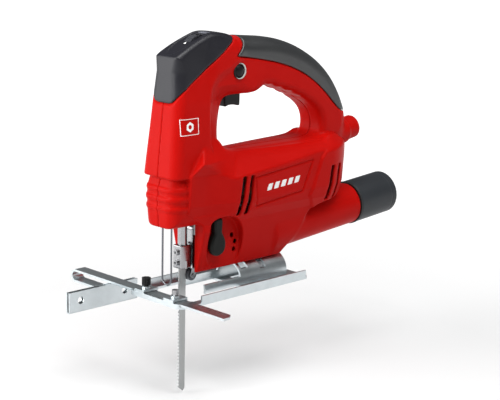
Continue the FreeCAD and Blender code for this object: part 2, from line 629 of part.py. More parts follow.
def control_pieces():
    x0, x1, half, z0, z1 = TRIGGER_BOX
    trigger = box(x0, x1, -half, half, z0, z1)
    trigger = trigger.cut(rod(16, (x0 + 8, -half - 1, z0 - 14.2), (x0 + 8, half + 1, z0 - 14.2)))
    switch = box(x0 - 3, x1 + 6, -4, 11, z1 + 5.5, 204)
    switch = switch.common(handle_envelope(WALL + 0.2)).cut(box(x1, x1 + 7, -5, 12, 200, 210))
    button = rod(LOCK_R, (LOCK_X, -17.6, LOCK_Z), (LOCK_X, -14, LOCK_Z))
    button = button.fuse(rod(3.0, (LOCK_X, -14, LOCK_Z), (LOCK_X, -8, LOCK_Z)))
    ring = tube(LOCK_R + 1.6, LOCK_R + 0.2, (LOCK_X, -HANDLE_HALF - 0.8, LOCK_Z),
                (LOCK_X, -HANDLE_HALF, LOCK_Z))
    dial = tube(DIAL_R, 1.5 + RUNNING, (DIAL_X, -3.6, DIAL_Z), (DIAL_X, 3.6, DIAL_Z))
    notches = []
    for index in range(24):
        angle = index * math.pi / 12
        x = DIAL_X + DIAL_R * math.cos(angle)
        z = DIAL_Z + DIAL_R * math.sin(angle)
        notches.append(rod(0.55, (x, -4, z), (x, 4, z)))
    stand = [box(DIAL_X - 3, DIAL_X + 3, y, y + 2, 192, DIAL_Z + 2.5) for y in (4.4, -6.4)]
    board = box(DIAL_X - 16, DIAL_X + 16, -9, 9, 190, 192)
    axle = rod(1.5, (DIAL_X, -6.4, DIAL_Z), (DIAL_X, 6.4, DIAL_Z))
    stand = [post.cut(axle) for post in stand]
    return {
        "trigger": trigger,
        "trigger_switch": switch,
        "lock_button": button,
        "lock_ring": ring,
        "speed_dial": dial.cut(notches),
        "dial_axle": axle,
        "speed_board": fuse([board] + stand),
    }


def guard_and_duct():
    legs = [Part.makeLine(V(-17, -5.5, 73), V(-17, -5.5, 17.5)),
            Part.Arc(V(-17, -5.5, 17.5), V(-17, 0, 12), V(-17, 5.5, 17.5)).toShape(),
            Part.makeLine(V(-17, 5.5, 17.5), V(-17, 5.5, 73))]
    duct = tube(11.0, 9.8, (68, 0, 41.2), (106, 0, 43.0))
    capacitor = box(106, 126, -7, 7, 178, 190)
    return {"wire_guard": pipe(legs, 0.8), "dust_duct": duct, "interference_capacitor": capacitor}


def adapter_pieces():
    spigot = tube(SPIGOT_R, 14.8, tube_point(-SPIGOT_LENGTH), tube_point(2.2))
    sleeve = rod(SLEEVE_R, tube_point(2.2), tube_point(SLEEVE_LENGTH))
    sleeve = sleeve.cut(rod(SLEEVE_BORE_R, tube_point(11), tube_point(SLEEVE_LENGTH + 1)))
    sleeve = sleeve.cut(rod(14.8, tube_point(0), tube_point(12)))
    ring = tube(SLEEVE_R + 0.3, SPIGOT_R, tube_point(0.5), tube_point(2.2))
    return {"dust_adapter": fuse([spigot, sleeve]), "adapter_seal": ring}


def build():
    pieces = housing_pieces()
    pieces["housing_screws"] = housing_screws()
    pieces.update(armature_pieces())
    pieces.update(motor_frame_pieces())
    pieces.update(gearbox_pieces())
    pieces.update(plunger_pieces())
    pieces.update(pendulum_pieces())
    pieces.update(shoe_pieces())
    pieces.update(fence_pieces())
    pieces.update(control_pieces())
    pieces.update(guard_and_duct())
    pieces.update(adapter_pieces())
    return pieces


os.makedirs("parts", exist_ok=True)
for name, shape in build().items():
    shape.exportStep("parts/" + name + ".step")
    print(f"{name:24s} solids {len(shape.Solids):2d}  valid {shape.isValid()}  volume {shape.Volume:10.1f}")
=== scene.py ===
import json
import math
import bmesh
import bpy
import numpy as np
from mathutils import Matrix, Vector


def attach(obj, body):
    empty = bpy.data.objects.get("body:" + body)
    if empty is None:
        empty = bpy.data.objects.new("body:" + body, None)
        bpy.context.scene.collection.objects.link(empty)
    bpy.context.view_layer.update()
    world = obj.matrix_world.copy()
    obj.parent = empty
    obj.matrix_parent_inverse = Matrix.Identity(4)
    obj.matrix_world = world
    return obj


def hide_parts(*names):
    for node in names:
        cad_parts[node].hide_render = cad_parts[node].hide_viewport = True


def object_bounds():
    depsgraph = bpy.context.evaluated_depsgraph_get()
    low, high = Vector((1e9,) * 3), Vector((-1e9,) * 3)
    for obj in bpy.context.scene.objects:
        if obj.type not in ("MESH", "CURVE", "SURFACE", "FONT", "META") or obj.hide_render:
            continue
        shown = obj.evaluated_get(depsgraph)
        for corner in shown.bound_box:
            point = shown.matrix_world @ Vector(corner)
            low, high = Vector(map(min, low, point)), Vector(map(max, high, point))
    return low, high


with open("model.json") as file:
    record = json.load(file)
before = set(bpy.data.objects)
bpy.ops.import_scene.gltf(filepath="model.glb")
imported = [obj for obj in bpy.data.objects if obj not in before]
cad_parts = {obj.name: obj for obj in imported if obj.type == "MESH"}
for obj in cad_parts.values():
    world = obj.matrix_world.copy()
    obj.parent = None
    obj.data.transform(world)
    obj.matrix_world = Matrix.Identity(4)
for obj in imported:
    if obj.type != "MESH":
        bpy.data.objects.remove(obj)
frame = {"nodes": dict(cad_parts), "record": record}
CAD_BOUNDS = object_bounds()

import openvdb
from mathutils import Matrix, Vector

# The jigsaw's moulded pieces are drawn as distance fields in millimetres, meshed, and
# scaled to metres. X points to the rear, Z up, -Y to the tool's left-hand side.
MM = 0.001
STEP = 0.85  # sampling of the housing
FINE = 0.4  # sampling of small pieces
THIN = 0.3  # sampling of printed marks
WALL = 2.5
SEAM = 0.06  # half the gap between the casing halves
GAP = 0.28  # gap around the cap and the grip
PANEL_DEPTH = 0.35
RECESS_FLOOR_Y = 12.4


# ---------------------------------------------------------------- distance fields

class Grid:
    """Regular sampling points over a box, kept as three arrays that broadcast."""

    def __init__(self, low, high, step):
        self.low = np.array(low, float)
        self.step = step
        counts = [int(math.ceil((b - a) / step)) + 1 for a, b in zip(low, high)]
        axes = [a + step * np.arange(n, dtype=np.float32) for a, n in zip(low, counts)]
        self.x = axes[0].reshape(-1, 1, 1).astype(np.float32)
        self.y = axes[1].reshape(1, -1, 1).astype(np.float32)
        self.z = axes[2].reshape(1, 1, -1).astype(np.float32)
        self.shape = tuple(counts)


def softened(points, rounds=3):
    """Closed outline with its corners cut again and again, which ends as a smooth curve."""
    loop = np.array(points, float)
    for _ in range(rounds):
        after = np.roll(loop, -1, axis=0)
        loop = np.stack([loop * 0.75 + after * 0.25, loop * 0.25 + after * 0.75], axis=1).reshape(-1, 2)
    return loop


def outline_distance(u, v, loop):
    """Signed distance to a closed outline in the u, v plane, negative inside."""
    nearest = None
    inside = None
    for (ax, ay), (bx, by) in zip(loop, np.roll(loop, -1, axis=0)):
        ex, ey = bx - ax, by - ay
        length2 = ex * ex + ey * ey
        if length2 < 1e-12:
            continue
        along = np.clip(((u - ax) * ex + (v - ay) * ey) / length2, 0, 1)
        gap2 = (u - ax - along * ex) ** 2 + (v - ay - along * ey) ** 2
        nearest = gap2 if nearest is None else np.minimum(nearest, gap2)
        if ay != by:
            crosses = ((ay > v) != (by > v)) & (u < ax + (v - ay) * ex / ey)
            inside = crosses if inside is None else inside ^ crosses
    return np.where(inside, -1, 1) * np.sqrt(nearest)


def soft_min(a, b, blend):
    """Union of two fields with a fillet about as wide as blend."""
    share = np.clip(0.5 + 0.5 * (b - a) / blend, 0, 1)
    return b + (a - b) * share - blend * share * (1 - share)


def soft_max(a, b, blend):
    """Intersection of two fields with a rounded edge."""
    return -soft_min(-a, -b, blend)


def slab(side, across, rounding):
    """Solid where both distances are negative, with its edge rounded."""
    a = side + rounding
    b = across + rounding
    return np.minimum(np.maximum(a, b), 0) + np.hypot(np.maximum(a, 0), np.maximum(b, 0)) - rounding


def rod(g, radius, start, end, rounding=0.6):
    """Cylinder between two points."""
    start = np.array(start, float)
    line = np.array(end, float) - start
    length = np.linalg.norm(line)
    line = line / length
    dx, dy, dz = g.x - start[0], g.y - start[1], g.z - start[2]
    along = dx * line[0] + dy * line[1] + dz * line[2]
    out = np.sqrt(np.maximum(dx * dx + dy * dy + dz * dz - along * along, 0))
    return slab(out - radius, np.maximum(-along, along - length), rounding)


def brick(g, low, high, rounding=0.3):
    """Box between two opposite corners."""
    sides = [np.maximum(a - v, v - b) + rounding for v, a, b in zip((g.x, g.y, g.z), low, high)]
    outside = np.sqrt(sum(np.maximum(s, 0) ** 2 for s in sides))
    return outside + np.minimum(np.maximum(np.maximum(sides[0], sides[1]), sides[2]), 0) - rounding


def sampled(field, g, points):
    """Trilinear value of the field at points in millimetres."""
    at = (points - g.low) / g.step
    base = np.clip(np.floor(at).astype(int), 0, np.array(field.shape) - 2)
    f = np.clip(at - base, 0, 1)
    value = 0
    for corner in range(8):
        pick = np.array([(corner >> k) & 1 for k in range(3)])
        weight = np.prod(np.where(pick, f, 1 - f), axis=1)
        i, j, k = (base + pick).T
        value = value + weight * field[i, j, k]
    return value


def settle(points, quads, field, g, rounds):
    """Evens the mesh out and puts its points back on the field's surface."""
    ends = np.concatenate([quads[:, [0, 1]], quads[:, [1, 2]], quads[:, [2, 3]], quads[:, [3, 0]]])
    ends = np.concatenate([ends, ends[:, ::-1]])
    count = np.bincount(ends[:, 0], minlength=len(points))[:, None]
    probe = 0.35 * g.step
    for _ in range(rounds):
        total = np.stack([np.bincount(ends[:, 0], weights=points[ends[:, 1], k], minlength=len(points))
                          for k in range(3)], axis=1)
        points = points * 0.5 + 0.5 * total / count
        value = sampled(field, g, points)
        slope = np.stack([sampled(field, g, points + probe * np.eye(3)[k])
                          - sampled(field, g, points - probe * np.eye(3)[k]) for k in range(3)], axis=1)
        slope /= 2 * probe
        size2 = np.maximum((slope ** 2).sum(axis=1), 0.05)
        move = -(value / size2)[:, None] * slope
        points = points + np.clip(move, -0.6 * g.step, 0.6 * g.step)
    return points


def new_object(name, data):
    """Object linked to the scene."""
    made = bpy.data.objects.new(name, data)
    bpy.context.scene.collection.objects.link(made)
    return made


def mesh_field(name, field, g, rounds=2):
    """Blender object for the surface where the field is zero."""
    field = np.ascontiguousarray(np.broadcast_to(field, g.shape), dtype=np.float32)
    lattice = openvdb.FloatGrid(float(5 * g.step))
    lattice.copyFromArray(np.clip(field, -4 * g.step, 4 * g.step))
    points, quads = lattice.convertToQuads(0.0)
    points = settle(points.astype(float) * g.step + g.low, quads, field, g, rounds)
    mesh = bpy.data.meshes.new(name)
    mesh.from_pydata((points * MM).tolist(), [], quads.tolist())
    work = bmesh.new()
    work.from_mesh(mesh)
    bmesh.ops.recalc_face_normals(work, faces=work.faces)
    work.to_mesh(mesh)
    work.free()
    mesh.shade_smooth()
    return new_object(name, mesh)


# ---------------------------------------------------------------- housing form

HEAD = [(-29.2, 90), (-29.2, 90), (-27.6, 112), (-22.4, 163), (-19.9, 201), (-19.9, 202), (-18.9, 203.0),
        (-5, 210.3), (11.4, 216.9), (20, 219.6), (30, 219.2), (44, 214.6), (54, 202), (42, 192), (22, 185),
        (14.2, 172), (13.2, 140), (14.6, 120), (22, 90)]
HEAD_BOTTOM_Z = 104.4
NOSE = [(-24.6, 61.6), (-27.0, 64), (-27.6, 90), (-25.2, 104), (-20, 108), (30, 108), (30, 61.6)]
BODY = [(-13, 106), (-13, 106), (-13, 75), (-13, 75), (6.0, 62), (6.0, 62), (6.0, 20.4), (6.0, 20.4),
        (100, 20.4), (106, 20.4), (114, 33), (126, 50), (136, 63), (172, 66), (180, 76), (181, 100),
        (176, 117), (160, 125), (120, 122), (56, 122), (36, 126), (24, 134), (10, 136)]
HANDLE = [(8, 104), (8, 214), (36, 216.5), (69, 213.6), (92, 211.6), (114, 206), (134, 197.5), (152, 187),
          (168, 173), (181, 155), (189, 137), (187, 122), (180, 112), (176, 100), (60, 100)]
WINDOW = [(60, 120), (110, 120), (136, 119.5), (150, 121), (152.5, 134), (146, 147), (124, 160), (101, 168),
          (82, 173.5), (74, 169), (68, 166.6), (44, 166.6), (35, 163), (31.5, 142), (32.5, 127), (37, 123),
          (50, 119.5)]
REAR_PANEL = [(133, 106), (122.6, 73), (142, 49), (200, 40), (200, 125), (150, 125)]
DIAL_SLOT = ((6.8, -4.2, 196), (17.2, 4.2, 226))
BADGE = (-20.3, -1.4, 139.8, 153.4)
CAP = [(-60, 161), (-60, 161), (-24.5, 161), (-18.5, 169.5), (-7, 177.8), (9, 187.6), (26, 199), (35, 205),
       (41, 210), (43.4, 215), (43.5, 240), (43.5, 240), (-60, 240), (-60, 240)]
GRIP = [(43.4, 199.2), (43.4, 199.2), (52, 208), (54.8, 213), (54.8, 230), (54.8, 230), (215, 230),
        (215, 230), (215, 150), (190, 140.5), (190, 140.5), (176, 141), (165, 150), (152, 162.2),
        (133, 175.3), (114, 184.2), (91, 191.2), (66, 196), (43.4, 199.2)]
PANEL = [(55, 98.4), (123.5, 105.4), (113.5, 79.0), (59, 72.8)]
RECESS = [(13.2, 60), (17, 66), (28, 68.4), (40, 65.5), (49, 58), (53.5, 46), (53.5, 28), (40, 16), (24, 18),
          (14.6, 31), (12.8, 45)]
VENTS = ((40, 67, 101), (49, 67, 101), (147, 66, 98), (158, 66, 98))  # x, low end, high end
RECESS_HOLES = ((45.5, 47.3), (49.3, 41.1), (48.0, 34.4))
CASING_SCREWS = ((-14, 128), (25, 176), (88, 190), (168, 142), (138, 72), (62, 58))
LOCK_X, LOCK_Z = 47.5, 187
TUBE_PITCH, BOSS_PITCH = 4.6, 9.0


def tube_axis(along):
    """Point on the suction tube's centre line, measured rearwards from its mouth."""
    pitch = math.radians(TUBE_PITCH)
    return (204.0 + along * math.cos(pitch), 0.0, 50.3 + along * math.sin(pitch))


def boss_axis(along):
    """Point on the cord inlet's centre line, measured rearwards from its end face."""
    pitch = math.radians(BOSS_PITCH)
    return (208.0 + along * math.cos(pitch), 0.0, 122.3 + along * math.sin(pitch))


def head_form(g):
    """Tapering head: soft front corners, a firmer rear edge and a crisp top face and foot."""
    half = np.interp(g.z, [60, 105, 165, 202, 226], [22.8, 22.4, 18.8, 14.6, 11.5]).astype(np.float32)
    side = outline_distance(g.x, g.z, softened(HEAD, 2))
    edge = np.interp(g.x, [-8, 6], [9.5, 3.2]) * np.interp(g.z, [190, 205], [1.0, 0.36])
    form = slab(side, np.abs(g.y) - half, np.maximum(edge, 3.2).astype(np.float32))
    return soft_max(form, HEAD_BOTTOM_Z - g.z, 1.4)


def nose_form(g):
    """Rounded block under the head, with three raised bands."""
    half = np.interp(g.z, [60, 90, 106], [19.0, 20.8, 20.0]).astype(np.float32)
    bands = sum(np.exp(-((g.z - z) / 2.1) ** 6) for z in (79.0, 87.0, 95.0))
    side = outline_distance(g.x, g.z, softened(NOSE, 2))
    return slab(side, np.abs(g.y) - half, 11.0) - 0.9 * bands.astype(np.float32)


def body_half_width(g):
    """The body is narrow at the foot, widest along a crease, and leans in above it."""
    low = np.interp(g.z, [15, 62, 70, 80, 104], [10.6, 22.3, 26.6, 29.6, 31.4]).astype(np.float32)
    low = low + 1.9 * np.clip(-outline_distance(g.x, g.z, np.array(REAR_PANEL)) / 1.5, 0, 1)
    crease = 100.5 + 0.118 * (g.x - 30)
    shoulder = 31.2 - 0.98 * (g.z - crease)
    behind_head = 23.0 - 0.306 * (g.x - 14.2) - 0.63 * (g.z - 121.5)
    high = soft_max(shoulder, behind_head, 1.2)
    half = soft_min(low, high, 1.5)
    half = half - 0.014 * np.maximum(g.x - 146, 0) ** 2
    forward = np.clip((40 - g.x) / 38, 0, 1)
    taper = np.interp(g.z, [56, 72, 106, 116], [0.8, 6.8, 6.8, 1.2]).astype(np.float32)
    return half - taper * forward * forward * (3 - 2 * forward)


def body_form(g):
    """Motor housing with the foot below it."""
    side = outline_distance(g.x, g.z, softened(BODY, 2))
    return slab(side, np.abs(g.y) - body_half_width(g), 1.3)


def handle_form(g):
    """Arched handle, pinched where it becomes the front pillar."""
    side = outline_distance(g.x, g.z, softened(HANDLE, 3))
    half = np.interp(g.x, [0, 60, 120, 180], [15.4, 15.6, 16.2, 15.0]).astype(np.float32)
    pillar = np.clip((176 - g.z) / 12, 0, 1) * np.clip((62 - g.x) / 20, 0, 1) * np.clip((g.x - 17) / 12, 0, 1)
    return slab(side, np.abs(g.y) - half + 6.0 * pillar, 13.0)


def housing_form(g):
    """The outer surface of the closed housing."""
    form = soft_min(head_form(g), handle_form(g), 7.0)
    body = soft_min(body_form(g), rod(g, 19.0, tube_axis(-110), tube_axis(0), 1.0), 5.0)
    lower = np.minimum(body, nose_form(g))
    form = soft_min(form, lower, 2.2)
    ripple = 0.35 * np.sin((g.x - 80) * 2 * math.pi / 12.5) * np.clip((g.x - 80) / 8, 0, 1)
    ripple = ripple * np.clip((136 - g.x) / 8, 0, 1) * np.clip((g.z - 140) / 12, 0, 1)
    window = outline_distance(g.x, g.z, softened(WINDOW, 3)) + ripple
    form = soft_max(form, -window, 7.0)
    inlet = rod(g, 10.6, boss_axis(-34), boss_axis(0), 1.2)
    collar = rod(g, 12.0, boss_axis(-34), boss_axis(-14), 2)
    return soft_min(form, soft_min(inlet, collar, 3), 4.0)


def housing_cuts(g):
    """Openings and sunk areas of the housing."""
    cuts = [
        brick(g, (-18.5, -11, 50), (6.2, 11, 67)),  # blade chamber
        brick(g, (2, -8, 10), (22, 8, 64)),  # slot of the pendulum fork
        rod(g, 16.7, (50, 0, 5), (113, 0, 5), 0.3),  # trough over the tilt cradle
        rod(g, 16.6, tube_axis(-96), tube_axis(20), 0.3),  # dust channel
        rod(g, 4.4, boss_axis(-12), boss_axis(10), 0.3),  # cord inlet
        brick(g, (40.6, -5.9, 150), (59.4, 5.9, 186)),  # trigger opening
        brick(g, (1, -7, 200), (23, 7, 226)),  # under the speed dial
        rod(g, 5.5, (LOCK_X, -24, LOCK_Z), (LOCK_X, -9, LOCK_Z), 0.3),  # lock button
    ]
    for x, low, high in VENTS:
        lean = (g.z - low) * math.tan(math.radians(4))
        slot = slab(np.abs(g.x - x - lean) - 2.3, np.maximum(low - g.z, g.z - high), 1.4)
        cuts.append(np.maximum(slot, 20 - np.abs(g.y)))
    for x, z in RECESS_HOLES:
        cuts.append(rod(g, 2.0, (x, -9.6, z), (x, -20, z), 0.1))
    for x, z in CASING_SCREWS:
        cuts.append(rod(g, 3.9, (x, 6, z), (x, 60, z), 0.3))
    return cuts


def lever_recess(g, grow):
    """Sunk place of the pendulum lever: an arch whose front side follows the lever."""
    outline = outline_distance(g.x, g.z, softened(RECESS, 2)) - grow
    return slab(outline, g.y + RECESS_FLOOR_Y - grow, 0.8)


g = Grid((-34, -35, 14), (213, 35, 226), STEP)
form = housing_form(g)
panel_outline = outline_distance(g.x, g.z, np.array(PANEL))
recess = lever_recess(g, 0.0)
cup = lever_recess(g, 2.0)
sunk = body_half_width(g) - PANEL_DEPTH - np.abs(g.y)
groove = np.maximum(np.abs(panel_outline) - 0.75, sunk - 0.95)
panel = np.minimum(np.maximum(panel_outline, sunk), groove)
cap_rise = 3.0 * np.clip((np.abs(g.y) - 5) / 10, 0, 1) ** 2
cap_zone = outline_distance(g.x, g.z - cap_rise, softened(CAP, 1))
grip_zone = outline_distance(g.x, g.z, softened(GRIP, 2))
thick = np.clip(4 - np.minimum(np.minimum(panel_outline, grip_zone), cap_zone), 0, 1)
hollow = -(form + WALL + 1.6 * thick)

red = np.maximum(form, hollow)
red = np.minimum(red, np.maximum(cup, form))
red = soft_max(red, -recess, 0.4)
for cut in housing_cuts(g):
    red = soft_max(red, -cut, 0.8)
red = soft_max(red, -panel, 0.4)
red = soft_max(red, -np.maximum(cap_zone - GAP, -(form + 2.3)), 0.8)
grip_skin = np.maximum(grip_zone - GAP, -(form + 1.9))
red = soft_max(red, -grip_skin, 0.8)
left = mesh_field("housing_left_shell", np.maximum(red, g.y + SEAM), g)
right = mesh_field("housing_right_shell", np.maximum(red, SEAM - g.y), g)
cap_field = soft_max(soft_max(form - 0.15, -(form + 2.1), 0.6), cap_zone + GAP, 1.0)
dish = np.sqrt(((g.x - 5.4) / 22.6) ** 2 + (g.y / 9.4) ** 2) * 9.4 - 9.4
cap_field = soft_max(cap_field, -np.maximum(np.maximum(dish, -(form + 0.8)), 195 - g.z), 0.4)
cap_field = np.maximum(cap_field, -brick(g, *DIAL_SLOT))
cap = mesh_field("front_cap_shell", cap_field, g)
grip_field = soft_max(soft_max(form - 0.25, -(form + 1.6), 0.6), grip_zone + GAP, 1.2)
grip = mesh_field("grip_skin", grip_field, g)
shells = {"housing_left": left, "housing_right": right, "front_cap": cap, "grip_overlay": grip}
for node, piece in shells.items():
    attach(piece, "housing")
    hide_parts(node)


# ---------------------------------------------------------------- small moulded pieces

def lever_grip():
    """Pendulum lever: a narrow finger end above a round bulb."""
    g = Grid((13, -21, 30), (36, -11, 69), FINE)
    profile = [(24.4, 66.6), (29.4, 65.4), (29.4, 58), (28.6, 53), (32.0, 48.5), (33.6, 42), (31.4, 35.2),
               (24.6, 32.4), (17.6, 35.2), (15.4, 42), (17.4, 48.5), (20.4, 53), (19.4, 58), (19.6, 65.4)]
    side = outline_distance(g.x, g.z, softened(profile, 3))
    return mesh_field("lever_grip", slab(side, np.abs(g.y + 15.75) - 3.05, 2.4), g)


def trigger_key():
    """Finger trigger: hollowed below, with a lip at its rear end."""
    g = Grid((39, -7, 152), (61, 7, 180), FINE)
    profile = [(41.1, 178), (41.1, 178), (41.1, 157), (42.5, 156.0), (46, 157.4), (52, 157.2), (56, 156.2),
               (58.6, 155.9), (58.9, 158), (58.9, 178), (58.9, 178)]
    side = outline_distance(g.x, g.z, softened(profile, 2))
    return mesh_field("trigger_moulding", slab(side, np.abs(g.y) - 5.45, 1.3), g)


def lock_cap():
    """Round push button with a domed face."""
    g = Grid((41, -19, 180), (54, -12, 194), FINE)
    dome = np.sqrt((g.x - LOCK_X) ** 2 + (g.y + 9.2) ** 2 + (g.z - LOCK_Z) ** 2) - 8.4
    post = rod(g, 5.15, (LOCK_X, -18, LOCK_Z), (LOCK_X, -13, LOCK_Z), 0.8)
    return mesh_field("lock_button_cap", soft_max(post, dome, 0.5), g)


def lock_glint():
    """Painted highlight: a pale crescent on the rear side of the button's ring, standing in for the lit inner
    wall of its recess.
    """
    g = Grid((40, -18, 179), (56, -15, 195), FINE)
    outer = np.hypot(g.x - LOCK_X, g.z - LOCK_Z) - 6.75
    inner = np.hypot(g.x - 46.5, g.z - 187.2) - 6.0
    crescent = np.maximum(outer, -inner)
    return mesh_field("lock_ring_painted_highlight", slab(crescent, np.abs(g.y + 16.55) - 0.35, 0.25), g)


def sleeve():
    """Pull-off adapter: spigot, stepped sleeve with a rounded rim, and a shallow band."""
    g = Grid((188, -22, 25), (259, 22, 80), 0.6)
    outer = rod(g, 19.6, tube_axis(2.2), tube_axis(51), 1.1)
    spigot = rod(g, 16.42, tube_axis(-12), tube_axis(6), 0.5)
    band = rod(g, 21, tube_axis(44.2), tube_axis(44.9), 0.1)
    band = np.maximum(band, -rod(g, 19.3, tube_axis(40), tube_axis(50), 0.1))
    shape = np.maximum(np.minimum(outer, spigot), -band)
    shape = np.maximum(shape, -rod(g, 17.9, tube_axis(11), tube_axis(55), 0.4))
    shape = np.maximum(shape, -rod(g, 14.8, tube_axis(-15), tube_axis(14), 0.4))
    return mesh_field("adapter_sleeve", shape, g)


def clamp_block():
    """Blade clamp: a ground block on a round boss, with a slit for the blade."""
    g = Grid((-8, -7, 22), (8, 7, 46), FINE)
    block = brick(g, (-6, -5, 24), (6, 5, 44), 0.7)
    block = np.minimum(block, rod(g, 5.4, (0.6, 0, 24), (0.6, 0, 31), 0.5))
    block = np.maximum(block, -brick(g, (-4.0, -0.7, 20), (4.0, 0.7, 40.2), 0.1))
    block = np.maximum(block, -rod(g, 4.05, (0, 0, 40), (0, 0, 50), 0.1))
    return mesh_field("clamp_block", block, g)


def decal(name, outline, box, panel_depth=None):
    """Thin printed mark on the left side of the housing, or on its sunk panel."""
    x0, x1, z0, z1, y0, y1 = box
    lift, half_thickness = 0.10, 0.2
    g = Grid((x0 - 1, y0, z0 - 1), (x1 + 1, y1, z1 + 1), THIN)
    form = housing_form(g)
    if panel_depth is not None:
        form = np.maximum(form, np.abs(g.y) - body_half_width(g) + panel_depth)
    skin = np.abs(form + half_thickness - lift) - half_thickness
    return mesh_field(name, np.maximum(outline(g), skin), g, rounds=1)


def frame_outline(g):
    """Square outline with a plain hexagon nut in its middle."""
    x0, x1, z0, z1 = BADGE
    middle_x, middle_z = (x0 + x1) / 2, (z0 + z1) / 2
    square = np.maximum(np.abs(g.x - middle_x) - (x1 - x0) / 2, np.abs(g.z - middle_z) - (z1 - z0) / 2)
    border = np.abs(square + 0.4) - 0.35
    turns = [math.pi * k / 3 for k in range(6)]
    hexagon = np.maximum.reduce([(g.x - middle_x) * math.cos(a) + (g.z - middle_z) * math.sin(a) - 3.7
                                 for a in turns])
    nut = np.maximum(hexagon, 1.7 - np.hypot(g.x - middle_x, g.z - middle_z))
    return np.minimum(border, nut)


def bars_outline(g):
    """Row of five plain slanted bars."""
    rise = g.z - 84.6 - 0.075 * (g.x - 68)
    bars = None
    for index in range(5):
        along = g.x - (71.6 + 8.2 * index) - 0.30 * rise
        bar = np.maximum(np.abs(along) - 2.7, np.abs(rise - 3.2) - 2.9)
        bars = bar if bars is None else np.minimum(bars, bar)
    return bars


def index_mark():
    """White triangle on the cap's sunk top, ahead of the speed dial."""
    g = Grid((-2, -3, 205), (5, 3, 214), THIN)
    surface = housing_form(g) + 0.9
    slant = 0.5 * (g.x - 1.0) + 0.87 * np.abs(g.y) - 0.75
    triangle = np.maximum(-0.4 - g.x, slant)
    return mesh_field("speed_index_mark", np.maximum(triangle, np.abs(surface) - 0.16), g, rounds=1)


def cap_pad():
    """Raised grey pad on the cap's sunk top, behind the speed dial."""
    g = Grid((16, -7, 212), (27, 7, 222), FINE)
    square = np.maximum(np.abs(g.x - 21.4) - 2.6, np.abs(g.y) - 4.6)
    return mesh_field("cap_pad", slab(square, np.abs(housing_form(g) + 0.75) - 0.45, 0.3), g)


def bar_scale():
    """Graduations pressed along the fence bar, one every 5 mm and longer every 10 mm."""
    top = 4.4
    corners, faces = [], []
    for index in range(11):
        y = -78.0 + 5.0 * index
        length = 5.0 if index % 2 == 0 else 3.0
        x0, y0, z0 = -17.9 - length, y - 0.22, top - 0.05
        size = (length, 0.44, 0.13)
        first = len(corners)
        for corner in range(8):
            offset = [size[k] * ((corner >> k) & 1) for k in range(3)]
            corners.append(((x0 + offset[0]) * MM, (y0 + offset[1]) * MM, (z0 + offset[2]) * MM))
        faces += [[first + k for k in quad] for quad in
                  ((0, 2, 3, 1), (4, 5, 7, 6), (0, 1, 5, 4), (2, 6, 7, 3), (0, 4, 6, 2), (1, 3, 7, 5))]
    mesh = bpy.data.meshes.new("bar_graduations")
    mesh.from_pydata(corners, [], faces)
    return new_object("bar_graduations", mesh)


# ---------------------------------------------------------------- materials

def material(name, colour, roughness=0.5, metallic=0.0, coat=0.0, grain=0.0, grain_size=0.6, vary=0.12,
             patch=18.0, stretch=(1, 1, 1), edge_highlight=None, specular=0.5):
    """Principled surface with colour and roughness variation, a fine grain and an optional painted edge
    highlight, a lighter colour speckled along sharp edges.

    grain is the bump height in millimetres, grain_size and patch are feature sizes in millimetres.
    """
    mat = bpy.data.materials.new(name)
    mat.use_nodes = True
    tree = mat.node_tree
    nodes, links = tree.nodes, tree.links
    shader = nodes["Principled BSDF"]
    shader.inputs["Metallic"].default_value = metallic
    shader.inputs["Coat Weight"].default_value = coat
    shader.inputs["Coat Roughness"].default_value = 0.25
    shader.inputs["Specular IOR Level"].default_value = specular
    place = nodes.new("ShaderNodeTexCoord")
    scale = nodes.new("ShaderNodeMapping")
    scale.inputs["Scale"].default_value = stretch
    links.new(place.outputs["Object"], scale.inputs["Vector"])

    def noise(size, detail):
        node = nodes.new("ShaderNodeTexNoise")
        node.inputs["Scale"].default_value = 1.0 / (size * MM)
        node.inputs["Detail"].default_value = detail
        links.new(scale.outputs["Vector"], node.inputs["Vector"])
        return node.outputs["Fac"]

    broad = noise(patch, 3.0)
    fine = noise(grain_size, 2.0)
    tint = nodes.new("ShaderNodeMixRGB")
    tint.inputs[1].default_value = [c * (1 - vary) for c in colour] + [1]
    tint.inputs[2].default_value = [min(c * (1 + vary) + 0.002, 1) for c in colour] + [1]
    links.new(broad, tint.inputs[0])
    colour_out = tint.outputs[0]
    # Painted edge highlight: sharp edges, found by pointiness, get a lighter colour in noisy speckles.
    if edge_highlight:
        edge = nodes.new("ShaderNodeNewGeometry")
        sharp = nodes.new("ShaderNodeMapRange")
        sharp.inputs["From Min"].default_value = 0.535
        sharp.inputs["From Max"].default_value = 0.62
        links.new(edge.outputs["Pointiness"], sharp.inputs["Value"])
        speckle = nodes.new("ShaderNodeMath")
        speckle.operation = "MULTIPLY"
        links.new(sharp.outputs["Result"], speckle.inputs[0])
        links.new(noise(3.0, 4.0), speckle.inputs[1])
        edge_lit = nodes.new("ShaderNodeMixRGB")
        edge_lit.inputs[2].default_value = list(edge_highlight) + [1]
        links.new(speckle.outputs[0], edge_lit.inputs[0])
        links.new(colour_out, edge_lit.inputs[1])
        colour_out = edge_lit.outputs[0]
    links.new(colour_out, shader.inputs["Base Color"])
    rough = nodes.new("ShaderNodeMapRange")
    rough.inputs["To Min"].default_value = max(roughness - 0.06, 0.03)
    rough.inputs["To Max"].default_value = roughness + 0.08
    links.new(broad, rough.inputs["Value"])
    links.new(rough.outputs["Result"], shader.inputs["Roughness"])
    if grain:
        bump = nodes.new("ShaderNodeBump")
        bump.inputs["Strength"].default_value = 1.0
        bump.inputs["Distance"].default_value = grain * MM
        links.new(fine, bump.inputs["Height"])
        links.new(bump.outputs["Normal"], shader.inputs["Normal"])
    return mat
